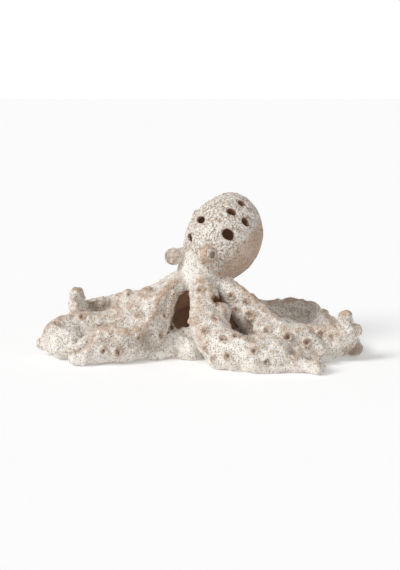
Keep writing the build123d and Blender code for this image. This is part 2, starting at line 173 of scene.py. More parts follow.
openings = []
cutters = {"body": [], "mantle": []}
for cutName, cut in cuts.items():
    forward = sightLine(*cut["spot"])
    if "front" in cut:
        mouth = viewPoint + forward * ((neck.y + cut["front"] * mm - viewPoint.y) / forward.y)
        before = 0
    else:
        mouth = metMantle(forward)
        forward = (Vector(mantleMiddle) - mouth).normalized()
        before = cutBefore
    right = forward.cross(Vector((0, 0, 1))).normalized()
    turn = Matrix.Rotation(math.radians(cut["lean"]), 3, -forward)
    right, up = turn @ right, turn @ right.cross(forward)
    openings.append((cut, np.array(mouth), np.array((right, up, forward)), before))
    bpy.ops.mesh.primitive_cylinder_add(vertices=around["hole"], radius=1, depth=1)
    cutter = bpy.context.object
    cutter.name = cutName
    length = (before + cut["deep"]) * mm
    axes = (right * cut["half"][0] * mm, up * cut["half"][1] * mm, -forward * length)
    middle = mouth + forward * (length / 2 - before * mm)
    cutter.data.transform(Matrix.Translation(middle) @ Matrix(axes).transposed().to_4x4())
    cutters["body" if "front" in cut else "mantle"].append(cutter)
for cutFrom, group in cutters.items():
    cutter = joinAll(group)
    for copy in copies:
        if copy.name.startswith(("mantle_", "eye_")) == (cutFrom == "mantle"):
            applied(copy, "BOOLEAN", object=cutter)
    bpy.data.objects.remove(cutter)
print("openings", len(openings))

mouthRim = {"deep": 4, "facing": -0.7}  # a face is inside a cut past this depth, or turned away from it


def inOpenings(points, normals, margin):
    inside = np.zeros(len(points), bool)
    for cut, mouth, axes, before in openings:
        across, above, depth = axes @ (points - mouth).T / mm
        level = (across / (cut["half"][0] + margin)) ** 2 + (above / (cut["half"][1] + margin)) ** 2
        buried = (depth > mouthRim["deep"]) | (normals @ axes[2] > mouthRim["facing"])
        inside |= (level < 1) & (depth > -before) & (depth < cut["deep"] + margin) & buried
    return inside.astype(float)


# Lumps of clay pressed on by hand: centre and half sizes in millimetres, turn in degrees
lumps = {
    "frontLump": {"at": (21, -47, 46), "half": (8, 8, 9), "turn": (0, 0, 0)},
    "leftNub": {"at": (-153, -33, 11), "half": (8, 6, 6), "turn": (0, 0, 0)},
    "rightNub": {"at": (148, -52, 31), "half": (9, 7, 7), "turn": (0, 20, 0)},
    "frontTip": {"at": (109, -103, 6), "half": (8, 6, 7), "turn": (0, 0, -30)},
    "leftLobe": {"at": (-127, -46, 18), "half": (19, 12, 13), "turn": (0, 8, 12)},
    "apronFoot": {"at": (-14, -45, 8), "half": (17, 9, 14), "turn": (0, 0, -30)},
}
for lumpName, lump in lumps.items():
    bpy.ops.mesh.primitive_uv_sphere_add(segments=around["lump"], ring_count=around["lump"] // 2, radius=1)
    ball = bpy.context.object
    ball.name = lumpName
    ball.scale = [s * mm for s in lump["half"]]
    ball.rotation_euler = [math.radians(t) for t in lump["turn"]]
    ball.location = placed(*lump["at"])
    focus(ball)
    bpy.ops.object.transform_apply()
    bpy.ops.object.mode_set(mode="EDIT")
    bpy.ops.mesh.select_all(action="SELECT")
    bpy.ops.mesh.bisect(plane_co=(0, 0, 0), plane_no=(0, 0, 1), use_fill=True, clear_inner=True)
    bpy.ops.object.mode_set(mode="OBJECT")
    copies.append(ball)
print("lumps", len(lumps))

body = joinAll(copies)
body.name = "fusedClay"
applied(body, "REMESH", mode="VOXEL", voxel_size=clay["voxel"] * mm)
print("fused", len(body.data.vertices))


def neighbours(piece):
    edges = np.zeros(len(piece.data.edges) * 2, np.int32)
    piece.data.edges.foreach_get("vertices", edges)
    edges = edges.reshape(-1, 2)
    first = np.concatenate([edges[:, 0], edges[:, 1]])
    second = np.concatenate([edges[:, 1], edges[:, 0]])
    degree = np.maximum(np.bincount(first, minlength=len(piece.data.vertices)), 1)
    return first, second, degree


links = neighbours(body)


def spread(values, steps, keep=0.3):
    # even the values out between neighbours, one step after another
    first, second, degree = links
    for step in range(steps):
        if values.ndim == 1:
            nearby = np.bincount(first, values[second], len(degree)) / degree
        else:
            nearby = np.stack([np.bincount(first, c[second], len(degree)) / degree for c in values.T], 1)
        values = keep * values + (1 - keep) * nearby
    return values


# How far each point is from each CAD node: the nearest names it, and the two nearest tell a joint
reach = 14 * mm
points = readPoints(body)
away = np.full((len(points), len(clayNodes)), reach)
for column, nodeName in enumerate(clayNodes):
    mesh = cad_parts[nodeName].data
    tree = BVHTree.FromPolygons([v.co for v in mesh.vertices], [p.vertices for p in mesh.polygons])
    low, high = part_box(nodeName)
    near = np.all((points > np.array(low) - reach) & (points < np.array(high) + reach), axis=1)
    for index in np.flatnonzero(near):
        found = tree.find_nearest(points[index], reach)
        if found[0] is not None:
            away[index, column] = found[3]
eyeAway = away[:, [clayNodes.index("eye_left"), clayNodes.index("eye_right")]].min(1)
labels = np.argmin(away, axis=1)


def labelled(*starts):
    return np.isin(labels, [i for i, n in enumerate(clayNodes) if n.startswith(starts)])


def fromLump(lumpName, grow):
    # under 1 inside the lump grown by some millimetres
    offset = (points - np.array(placed(*lumps[lumpName]["at"]))) / mm
    return np.linalg.norm(offset / (np.array(lumps[lumpName]["half"]) + grow), axis=1)


# Joints are thumbed smooth, while the eye knobs and the openings stay crisp. between is by how many
# millimetres the second nearest node is further than the nearest
soften = {
    "between": (2, 11),
    "eyes": (0.5, 7),
    "eyeShare": 0.08,
    "lumps": ("leftLobe", "apronFoot"),
    "lumpGrow": 3,
    "lumpFade": (1.0, 1.5),
    "openingGrow": 3,
    "openingBlend": 3,
    "openingShare": 0.85,
    "factor": 0.5,
    "allOver": 5,
    "joints": 60,
}
nearest = np.sort(away, axis=1)
jointMask = 1 - fade(nearest[:, 1] - nearest[:, 0], soften["between"], mm)
jointMask *= soften["eyeShare"] + (1 - soften["eyeShare"]) * fade(eyeAway, soften["eyes"], mm)
for lumpName in soften["lumps"]:
    nearLump = 1 - fade(fromLump(lumpName, soften["lumpGrow"]), soften["lumpFade"])
    jointMask = np.maximum(jointMask, nearLump)
crisp = inOpenings(points, readPoints(body, "normal"), soften["openingGrow"])
jointMask *= 1 - soften["openingShare"] * spread(crisp, soften["openingBlend"])
applied(body, "SMOOTH", factor=soften["factor"], iterations=soften["allOver"])
applied(body, "SMOOTH", factor=soften["factor"], iterations=soften["joints"],
        vertex_group=masked(body, "joint", jointMask))
print("joints softened")

isMantle = labelled("mantle_shell")
isCore = labelled("body_cone", "neck_collar")
normals = readPoints(body, "normal")


def mantleSide(side):
    # how much each point is on the side of the mantle that looks one way
    return spread(isMantle * fade(normals @ np.array(side["toward"]), side["from"]), side["blend"])


# The mantle is flatter at the upper left than a true egg
flatSide = {"toward": (-0.72, -0.1, 0.69), "from": (0.45, 1.0), "blend": 10, "deep": 4.5}
press = mantleSide(flatSide) * flatSide["deep"] * mm
writePoints(body, readPoints(body) - np.outer(press, flatSide["toward"]))
print("mantle pressed")

# Ridges and gullies worked from the front, laid along the lines they follow in the photograph (pixels).
# high and wide in millimetres, bare is how much clay shows on it, and where a stroke has a third share it
# gets painted shade there, with more pits
strokes = {
    "frontLeftCrest": {
        "path": ((176, 282), (165, 293), (157, 301), (154, 315), (146, 326), (130, 333), (109, 332),
                 (95, 328)),
        "high": 3.5, "wide": 4.5, "bare": 0.7},
    "windowRim": {
        "path": ((172, 296), (169, 308), (168, 320), (170, 333)),
        "high": 2.2, "wide": 2.5, "bare": 0.4},
    "windowLeft": {
        "path": ((181, 294), (177, 304), (175, 318)),
        "high": -4.0, "wide": 3.5, "bare": 0.1},
    "windowRight": {
        "path": ((186, 293), (189, 304), (189, 322)),
        "high": -3.0, "wide": 3.0, "bare": 0.1},
    "leftCrest": {
        "path": ((149, 291), (133, 304), (115, 317), (94, 320), (80, 314), (61, 317), (49, 326), (41, 335)),
        "high": 2.5, "wide": 4.5, "bare": 0.7},
    "lobeCrease": {
        "path": ((95, 334), (88, 342), (77, 353)),
        "high": -3.0, "wide": 3.0, "bare": 0.7},
    "lobeLedge": {
        "path": ((56, 351), (66, 351), (79, 353)),
        "high": 1.5, "wide": 2.0, "bare": 0.3},
    "lobeFoot": {
        "path": ((54, 355), (68, 357), (80, 358)),
        "high": -1.2, "wide": 2.0, "bare": 0.0},
    "frontLeftTip": {
        "path": ((100, 336), (92, 346), (85, 358), (83, 364)),
        "high": 3.0, "wide": 3.5, "bare": 0.2},
    "frontLeftFoot": {
        "path": ((94, 359), (110, 360), (130, 358)),
        "high": -1.5, "wide": 4.0, "bare": 0.0},
    "apronHollow": {
        "path": ((148, 337), (151, 346)),
        "high": -7.0, "wide": 6.0, "bare": 0.2, "dusk": 0.9},
    "flankHollow": {
        "path": ((108, 343), (125, 345), (140, 344)),
        "high": -3.5, "wide": 7.0, "bare": 0.2, "dusk": 0.45},
    "apronRidge": {
        "path": ((158, 333), (155, 345), (152, 355)),
        "high": 2.5, "wide": 3.0, "bare": 0.1},
    "apronNub": {
        "path": ((139, 334), (147, 329)),
        "high": 2.5, "wide": 3.5, "bare": 0.4},
    "frontCrest": {
        "path": ((200, 284), (200, 300), (196, 318), (200, 332), (206, 345)),
        "high": 2.0, "wide": 6.0, "bare": 0.8},
    "frontEdge": {
        "path": ((208, 287), (212, 300), (222, 309), (222, 322), (232, 333), (250, 342), (262, 348)),
        "high": 2.5, "wide": 3.5, "bare": 0.5},
    "frontBulge": {
        "path": ((217, 361), (220, 363)),
        "high": 4.0, "wide": 6.0, "bare": 0.1},
    "frontDip": {
        "path": ((236, 362), (238, 366)),
        "high": -3.0, "wide": 5.0, "bare": 0.0},
    "frontBulgeOut": {
        "path": ((253, 363), (256, 365)),
        "high": 3.5, "wide": 6.0, "bare": 0.1},
    "frontLedge": {
        "path": ((272, 352), (285, 357), (300, 361), (313, 362)),
        "high": 2.0, "wide": 2.5, "bare": 0.3},
    "frontFoot": {
        "path": ((278, 364), (300, 366)),
        "high": -1.2, "wide": 3.0, "bare": 0.0},
    "recess": {
        "path": ((294, 349), (304, 353), (313, 355)),
        "high": -6.0, "wide": 5.0, "bare": 0.3, "dusk": 0.8},
    "tooth": {
        "path": ((316, 358), (318, 366), (318, 372)),
        "high": 3.5, "wide": 3.0, "bare": 0.1},
    "frontRightEdge": {
        "path": ((238, 285), (247, 295), (259, 305), (265, 311), (277, 319)),
        "high": 2.0, "wide": 3.0, "bare": 0.8},
    "frontRightInner": {
        "path": ((226, 299), (235, 311), (243, 323)),
        "high": 3.5, "wide": 4.0, "bare": 0.1},
    "pocket": {
        "path": ((246, 324), (249, 331), (251, 339)),
        "high": -6.0, "wide": 4.0, "bare": 0.3, "dusk": 0.8},
    "kneeRidge": {
        "path": ((253, 332), (256, 326), (263, 322), (270, 320), (280, 322)),
        "high": 3.0, "wide": 3.5, "bare": 0.3},
    "knee": {
        "path": ((264, 333), (272, 338)),
        "high": 2.5, "wide": 10.0, "bare": 0.0},
    "rightCrest": {
        "path": ((286, 333), (305, 331), (320, 331), (330, 332), (340, 335)),
        "high": 5.0, "wide": 5.0, "bare": 0.4},
    "scoopRim": {
        "path": ((265, 306), (270, 303), (281, 303), (291, 299), (302, 298), (314, 300), (321, 304),
                 (325, 312), (332, 322)),
        "high": 1.5, "wide": 3.0, "bare": 0.9},
    "groundFinger": {
        "path": ((348, 354), (362, 351)),
        "high": 0.5, "wide": 7.0, "bare": 0.9, "dusk": 0.9},
    "tipTop": {
        "path": ((342, 313), (350, 313)),
        "high": 0.8, "wide": 4.0, "bare": 0.9},
    "tipNeck": {
        "path": ((334, 325), (340, 328)),
        "high": -3.0, "wide": 3.0, "bare": 0.2},
    "tipNotch": {
        "path": ((353, 319), (354, 324)),
        "high": -4.0, "wide": 3.0, "bare": 0.2},
    "fingerTop": {
        "path": ((72, 288), (78, 289)),
        "high": 0.5, "wide": 3.0, "bare": 0.9, "dusk": 0.5},
    "fingerSide": {
        "path": ((84, 292), (82, 302)),
        "high": -3.5, "wide": 3.0, "bare": 0.1},
    "backLeftHollow": {
        "path": ((94, 305), (101, 309), (107, 307)),
        "high": -5.0, "wide": 6.0, "bare": 0.4, "dusk": 0.7},
    "backLeftRim": {
        "path": ((86, 297), (95, 294), (108, 293), (120, 291), (128, 292)),
        "high": 1.5, "wide": 2.5, "bare": 0.4},
    "backLeftFold": {
        "path": ((128, 294), (118, 303), (110, 312), (100, 318)),
        "high": 2.5, "wide": 3.0, "bare": 0.3},
}
strokeBlend = 4
inSight = {"facing": 0.02, "off": 0.8, "blend": 5}  # least facing, and how far off the skin to look from


def toPicture(points):
    # where the photograph shows a point, in pixels
    x, y, z = ((points - np.array(neck)) / mm).T
    c, s = math.cos(tilt), math.sin(tilt)
    scale = lens["distance"] / (lens["distance"] + y * c - z * s)
    return np.stack([lens["middle"][0] + scale * x, lens["middle"][1] - scale * (y * s + z * c)], 1)


def fromLine(spots, path):
    best = np.full(len(spots), np.inf)
    for first, second in zip(np.array(path[:-1], float), np.array(path[1:], float)):
        along = second - first
        t = np.clip((spots - first) @ along / (along @ along), 0, 1)
        best = np.minimum(best, np.linalg.norm(spots - first - t[:, None] * along, axis=1))
    return best


points = readPoints(body)
normals = readPoints(body, "normal")
tree = BVHTree.FromPolygons(points.tolist(), [p.vertices for p in body.data.polygons])
toView = np.array(viewPoint) - points
facing = np.sum(toView * normals, axis=1) / np.linalg.norm(toView, axis=1)
seen = np.zeros(len(points))
for index in np.flatnonzero(facing > inSight["facing"]):
    start = Vector(points[index] + inSight["off"] * mm * normals[index])
    seen[index] = tree.ray_cast(start, viewPoint - start)[0] is None
seen = spread(seen, inSight["blend"])
spots = toPicture(points)
lift = np.zeros(len(points))
strokeBare = np.zeros(len(points))
# painted shade laid into the stroked hollows, pockets and the ground finger
strokeShadeAndPits = np.zeros(len(points))
for stroke in strokes.values():
    touch = np.exp(-(fromLine(spots, stroke["path"]) / stroke["wide"]) ** 2) * seen
    lift += stroke["high"] * mm * touch
    strokeBare = np.maximum(strokeBare, stroke["bare"] * touch)
    strokeShadeAndPits = np.maximum(strokeShadeAndPits, stroke.get("dusk", 0) * touch)
points = points + spread(lift, strokeBlend)[:, None] * normals
points[:, 2] = np.maximum(points[:, 2], 0)
writePoints(body, points)
print("strokes", len(strokes))

# The bare inside: what looks to the middle of the mantle or to the neck axis, or lies in a cut
bareInside = {"facing": (0.1, 0.5), "openingGrow": 0.9, "lumpGrow": 2, "blend": 2}
normals = readPoints(body, "normal")
inward = mantleMiddle - points
inward /= np.linalg.norm(inward, axis=1)[:, None]
axisWard = np.array(neck) - points
axisWard[:, 2] = 0
axisWard /= np.maximum(np.linalg.norm(axisWard, axis=1), weld * mm)[:, None]
turnedIn = np.where(isCore, np.sum(axisWard * normals, axis=1), -1)
turnedIn = np.where(isMantle, np.sum(inward * normals, axis=1), turnedIn)
inCut = inOpenings(points, normals, bareInside["openingGrow"])
inCut *= fromLump("frontLump", bareInside["lumpGrow"]) > 1
hollow = spread(np.maximum(fade(turnedIn, bareInside["facing"]), inCut), bareInside["blend"])

# Lumpy hand-worked surface: arms swell most, the mantle carries a grainy crust on top and in front
crustSide = {"toward": (-0.35, -0.55, 0.75), "from": (0.0, 0.3), "blend": 8}
# The mantle's right and lower side, turned away from the key lamp, turns tan: partly the clay's own tone,
# partly painted shade
tanShadeSide = {"toward": (0.75, -0.15, -0.65), "from": (0.25, 0.7), "blend": 8}
limbBlend = 8
blush = mantleSide(tanShadeSide) * (1 - hollow)
crust = mantleSide(crustSide) * (1 - hollow) * (1 - blush)
limbs = spread(labelled("arm_", "web_").astype(float), limbBlend)
for groupName, weights in {"limbs": limbs, "outside": 1 - hollow, "crust": crust}.items():
    masked(body, groupName, weights)
surface = {
    "swells": {"size": 24, "high": 6.0, "where": "limbs"},
    "lumpy": {"size": 8, "high": 2.2, "where": "limbs"},
    "wavy": {"size": 12, "high": 1.2, "where": "outside"},
    "grainy": {"size": 2.6, "high": 0.7, "where": "outside"},
    "crusty": {"size": 2.8, "high": 2.2, "where": "crust"},
}
for layerName, layer in surface.items():
    roughened(body, layerName, **layer)
print("surface worked")

# Suckers: a rim and a thumbed dish at each ring of the CAD, in millimetres and shares of its radius
sucker = {"rimHigh": 2.3, "dishDeep": 1.3, "rimAt": 0.78, "rimWide": 0.30, "dishWide": 0.60,
          "reach": 1.9, "facing": (0.0, 0.5)}
points = readPoints(body)
normals = readPoints(body, "normal")
lookup = KDTree(len(points))
for index, point in enumerate(points):
    lookup.insert(point, index)
lookup.balance()
rimMask = np.zeros(len(points))
dishMask = np.zeros(len(points))


def looseParts(mesh):
    # vertices at one place count as one, then each group of linked faces is a part
    places = np.array([v.co for v in mesh.vertices])
    key = np.unique(np.round(places / (weld * mm)).astype(int), axis=0, return_inverse=True)[1].ravel()
    owner = np.arange(key.max() + 1)
    edges = key[np.array([e.vertices for e in mesh.edges])]
    while True:
        lowest = np.minimum(owner[edges[:, 0]], owner[edges[:, 1]])
        fresh = owner.copy()
        np.minimum.at(fresh, edges[:, 0], lowest)
        np.minimum.at(fresh, edges[:, 1], lowest)
        if np.array_equal(fresh, owner):
            break
        owner = fresh
    part = owner[key]
    return [places[part == p] for p in np.unique(part)]


rings = []
for nodeName in sorted(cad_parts):
    if nodeName.startswith("suckers_"):
        for part in looseParts(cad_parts[nodeName].data):
            middle = (part.min(0) + part.max(0)) / 2
            rings.append((middle, np.linalg.norm(part - middle, axis=1).max()))
for middle, radius in rings:
    middle = np.array(lookup.find(middle)[0])
    close = np.array([i for c, i, d in lookup.find_range(middle, sucker["reach"] * radius)])
    offset = points[close] - middle
    axis = normals[close[np.linalg.norm(offset, axis=1) < radius]].mean(0)
    axis /= np.linalg.norm(axis)
    across = np.linalg.norm(offset - np.outer(offset @ axis, axis), axis=1) / radius
    facing = fade(normals[close] @ axis, sucker["facing"])
    rim = np.exp(-((across - sucker["rimAt"]) / sucker["rimWide"]) ** 2) * facing
    dish = np.clip(1 - (across / sucker["dishWide"]) ** 2, 0, 1) * facing
    points[close] += np.outer(sucker["rimHigh"] * mm * rim - sucker["dishDeep"] * mm * dish, axis)
    rimMask[close] = np.maximum(rimMask[close], rim)
    dishMask[close] = np.maximum(dishMask[close], dish)
print("suckers", len(rings))

# Small warts pressed up all over the arms, some with a pin hole. least, most and above in millimetres,
# high, reach and the pin hole in shares of the wart's radius
wart = {"count": 340, "least": 1.3, "most": 2.9, "above": 6, "high": 0.7, "reach": 1.8,
        "pinDeep": 1.3, "pinWide": 0.4, "limbsOver": 0.8, "rimsUnder": 0.05, "seed": 8}
dice = np.random.default_rng(wart["seed"])
onLimbs = (limbs > wart["limbsOver"]) & (rimMask < wart["rimsUnder"])
fit = np.flatnonzero(onLimbs & (points[:, 2] > wart["above"] * mm))
for index in dice.choice(fit, wart["count"], replace=False):
    radius = dice.uniform(wart["least"], wart["most"]) * mm
    close = np.array([i for c, i, d in lookup.find_range(points[index], wart["reach"] * radius)])
    across = np.linalg.norm(points[close] - points[index], axis=1) / radius
    pin = dice.choice([0, wart["pinDeep"]]) * np.exp(-(across / wart["pinWide"]) ** 2)
    points[close] += np.outer(wart["high"] * radius * (np.exp(-across ** 2) - pin), normals[index])
points[:, 2] = np.maximum(points[:, 2], 0)
writePoints(body, points)
print("warts", wart["count"])

# What the glaze reads: ridges and hollows of the surface, crests, clean and bare places.
# A bend is how far a point stands from its surroundings, in millimetres, near by and further out
bends = {"fine": {"steps": 6, "from": (0.03, 0.35)}, "broad": {"steps": 30, "from": (0.15, 1.1)}}
bendShare = 0.6
cleanGlaze = {"nodes": ("neck_collar", "body_cone", "web_front_left"), "blend": 10, "foot": (4, 12)}
bareEyes = {"from": (0.6, 2.5), "leftShare": 0.3}
bareCrest = {"facing": (0.35, 0.9), "height": (8, 22), "blend": 8}
points = readPoints(body)
normals = readPoints(body, "normal")
ridge = np.zeros(len(points))
cavity = np.zeros(len(points))
for bend in bends.values():
    bulge = np.sum((points - spread(points, bend["steps"])) * normals, axis=1) / mm
    ridge += fade(bulge, bend["from"]) * bendShare
    cavity += fade(-bulge, bend["from"]) * bendShare
clean = spread(labelled(*cleanGlaze["nodes"]).astype(float), cleanGlaze["blend"])
clean = np.maximum(clean, 1 - fade(points[:, 2], cleanGlaze["foot"], mm))
eyes = 1 - fade(eyeAway, bareEyes["from"], mm)
eyes *= np.where(points[:, 0] < neck.x, bareEyes["leftShare"], 1)
crest = fade(normals[:, 2], bareCrest["facing"]) * fade(points[:, 2], bareCrest["height"], mm)
crest = spread(limbs * crest, bareCrest["blend"])
for attributeName, values in {
    "ridgeShare": ridge,
    "cavityShare": cavity,
    "crestShare": crest,
    "rimShare": rimMask,
    "dishShare": dishMask,
    "crustShare": crust,
    "hollowShare": hollow,
    "strokeShare": strokeBare,
    "duskShare": strokeShadeAndPits,
    "eyeShare": eyes,
    "blushShare": blush,
    "cleanShare": clean,
}.items():
    share = body.data.attributes.new(attributeName, "FLOAT", "POINT")
    share.data.foreach_set("value", np.clip(values, 0, 1).astype(np.float32))


class Flow:
    def __init__(self, tree, socket=None):
        self.tree = tree
        self.socket = socket

    def node(self, kind, settings=None, inputs=None, out=0):
        made = self.tree.nodes.new(kind)
        for key, value in (settings or {}).items():
            setattr(made, key, value)
        for key, value in (inputs or {}).items():
            if isinstance(value, Flow):
                self.tree.links.new(value.socket, made.inputs[key])
            else:
                made.inputs[key].default_value = value
        return Flow(self.tree, made.outputs[out] if made.outputs else None)

    def output(self, name):
        # another output of the same node
        return Flow(self.tree, self.socket.node.outputs[name])

    def math(self, operation, *values):
        return self.node("ShaderNodeMath", {"operation": operation}, dict(enumerate(values)))

    def __add__(self, other):
        return self.math("ADD", self, other)

    def __radd__(self, other):
        return self.math("ADD", other, self)

    def __sub__(self, other):
        return self.math("SUBTRACT", self, other)

    def __rsub__(self, other):
        return self.math("SUBTRACT", other, self)

    def __mul__(self, other):
        return self.math("MULTIPLY", self, other)

    def __rmul__(self, other):
        return self.math("MULTIPLY", other, self)

    def step(self, low, high):
        return self.node("ShaderNodeMapRange", {"interpolation_type": "SMOOTHSTEP"},
                         {"Value": self, "From Min": low, "From Max": high})

    def mix(self, first, second):
        return self.node("ShaderNodeMix", {"data_type": "RGBA"}, {0: self, 6: first, 7: second}, 2)


def tint(red, green, blue):
    # a picture colour from 0 to 255 as a linear one
    return tuple(((c / 255 + 0.055) / 1.055) ** 2.4 for c in (red, green, blue)) + (1,)


# The glaze: colours, noise as scale and detail, and how much each mask counts where masks are summed.
# coats are laid one over another, each in a colour and where its masks are
glaze = {
    "white": tint(238, 233, 225),
    "cream": tint(226, 216, 205),
    "tan": tint(196, 168, 145),
    "rust": tint(158, 126, 100),
    "dusk": tint(168, 150, 133),
    "gap": tint(164, 138, 114),
    "pit": tint(106, 86, 70),
    "inside": tint(116, 84, 62),
    # glow: painted light, the hollow inside shines faintly though no lamp is there
    "glow": tint(54, 39, 29),
    "dark": tint(0, 0, 0),
    "dish": 0.45,
    "noise": {"broad": (38, 3), "patchy": (150, 6), "fine": (600, 3)},
    "shares": ("ridge", "cavity", "crest", "rim", "dish", "crust", "hollow", "stroke", "dusk", "eye",
               "blush", "clean"),
    "creamFrom": (0.35, 0.7),
    # the tan side of the mantle is partly painted shade
    "bare": {"ridge": 0.45, "crest": 0.22, "stroke": 0.6, "blush": 0.95, "rim": 0.4, "eye": 0.9,
             "clean": -0.3, "patchy": 0.7, "broad": 0.6, "fine": 0.7},
    "bareFrom": (0.05, 1.0),
    "pits": {"scale": 620, "size": 0.44, "amount": 0.95,
             "by": {"broad": 1.0, "dusk": 0.3, "bare": -0.45, "clean": -0.3, "crust": -0.7}},
    "specks": {"scale": 900, "size": 0.40, "amount": 0.6, "by": {"patchy": 0.8, "dusk": 0.3}},
    "grain": {"scale": 500, "noise": (420, 3), "bend": 2, "from": (0.46, 0.78),
              "by": {"crust": 1.0, "bare": 0.4}},
    "grainPatch": {"from": (0.3, 0.6), "least": 0.5},
    "coats": (
        ("tan", {"bare": 0.85}),
        ("rust", {"cavity": 0.35, "dish": 1.0}),
        # painted shade in the stroked hollows
        ("dusk", {"dusk": 0.75}),
        ("gap", {"gaps": 0.85}),
        ("pit", {"pits": 0.75}),
        ("pit", {"specks": 0.4}),
        ("inside", {"hollow": 1.0}),
    ),
    "height": {"patchy": 0.6, "fine": 0.35, "pits": -0.9, "specks": -0.35, "gaps": -1.3},
    "bump": {"Strength": 0.8, "Distance": 0.7 * mm},
    "rough": 0.5,
    "rougher": {"bare": 0.2, "hollow": 0.15},
    "gloss": 0.3,
}
noiseMiddle = 0.5
dotEdge = {"inner": 0.45, "chance": 0.05}  # where a dot's soft edge starts, and how gently dots thin out


def glazed(name, tone=glaze):
    material = bpy.data.materials.new(name)
    material.use_nodes = True
    tree = material.node_tree
    tree.nodes.clear()
    flow = Flow(tree)
    where = flow.node("ShaderNodeTexCoord", out="Object")

    def noise(scale, detail):
        return flow.node("ShaderNodeTexNoise", None, {"Vector": where, "Scale": scale, "Detail": detail})

    def weighed(weights):
        return sum(masks[maskName] * weight for maskName, weight in weights.items())

    def dots(dot):
        spot = flow.node("ShaderNodeTexVoronoi", None, {"Vector": where, "Scale": dot["scale"]})
        chance = flow.node("ShaderNodeSeparateColor", None, {0: spot.output("Color")})
        density = dot["amount"] + weighed(dot["by"])
        inner = dot["size"] * dotEdge["inner"]
        return (1 - spot.step(inner, dot["size"])) * (density - chance).step(0, dotEdge["chance"])

    clouds = {cloudName: noise(*size) for cloudName, size in tone["noise"].items()}
    masks = {cloudName: cloud - noiseMiddle for cloudName, cloud in clouds.items()}
    for share in tone["shares"]:
        masks[share] = flow.node("ShaderNodeAttribute", {"attribute_name": share + "Share"}, out="Fac")
    masks["dish"] = masks["dish"] * tone["dish"]
    masks["bare"] = weighed(tone["bare"]).step(*tone["bareFrom"])
    masks["pits"] = dots(tone["pits"])
    masks["specks"] = dots(tone["specks"])
    crumbs, patch = tone["grain"], tone["grainPatch"]
    bent = flow.node("ShaderNodeVectorMath", {"operation": "MULTIPLY_ADD"},
                     {0: noise(*crumbs["noise"]).output("Color"), 1: (crumbs["bend"] * mm,) * 3, 2: where})
    grain = flow.node("ShaderNodeTexVoronoi", None, {"Vector": bent, "Scale": crumbs["scale"]})
    patches = clouds["patchy"].step(*patch["from"]) * (1 - patch["least"]) + patch["least"]
    masks["gaps"] = grain.step(*crumbs["from"]) * weighed(crumbs["by"]) * patches
    colour = clouds["patchy"].step(*tone["creamFrom"]).mix(tone["white"], tone["cream"])
    for coatTone, weights in tone["coats"]:
        colour = weighed(weights).mix(colour, tone[coatTone])
    relief = flow.node("ShaderNodeBump", None, dict(tone["bump"], Height=weighed(tone["height"])))
    shader = flow.node("ShaderNodeBsdfPrincipled", None, {
        "Base Color": colour,
        "Roughness": tone["rough"] + weighed(tone["rougher"]),
        "Normal": relief,
        "Specular IOR Level": tone["gloss"],
        # the hollow inside glows faintly: painted light that lifts its shade
        "Emission Color": masks["hollow"].mix(tone["dark"], tone["glow"]),
        "Emission Strength": 1.0,
    })
    flow.node("ShaderNodeOutputMaterial", None, {"Surface": shader})
    return material


glazeMaterial = glazed("glazedStoneware")
print("glaze mixed")

# Cut the fused clay into one closed piece per CAD node. Its cut edge turns in before it is closed, and
# around the throat, where the windows show the closing faces, these take the colour of the inside
seam = {"blend": 14, "keep": 0.5, "turnIn": 2.5, "throat": (-20, -5, 45), "throatRadius": 46}
skinWay = body.data.attributes.new("skinWay", "FLOAT_VECTOR", "POINT")
skinWay.data.foreach_set("vector", normals.astype(np.float32).ravel())
marks = spread(np.eye(len(clayNodes))[labels], seam["blend"], seam["keep"])
corners = np.zeros(len(body.data.loops), np.int32)
body.data.loops.foreach_get("vertex_index", corners)
starts = np.zeros(len(body.data.polygons), np.int32)
body.data.polygons.foreach_get("loop_start", starts)
faceMarks = np.add.reduceat(marks[corners], starts, axis=0)
body.data.materials.clear()
for nodeName in clayNodes:
    body.data.materials.append(bpy.data.materials.new("part_" + nodeName))
body.data.polygons.foreach_set("material_index", np.argmax(faceMarks, axis=1).astype(np.int32))
body.data.update()
body.vertex_groups.clear()
focus(body)
bpy.ops.object.mode_set(mode="EDIT")
bpy.ops.mesh.select_all(action="SELECT")
bpy.ops.mesh.separate(type="MATERIAL")
bpy.ops.object.mode_set(mode="OBJECT")
pieces = list(bpy.context.selected_objects)
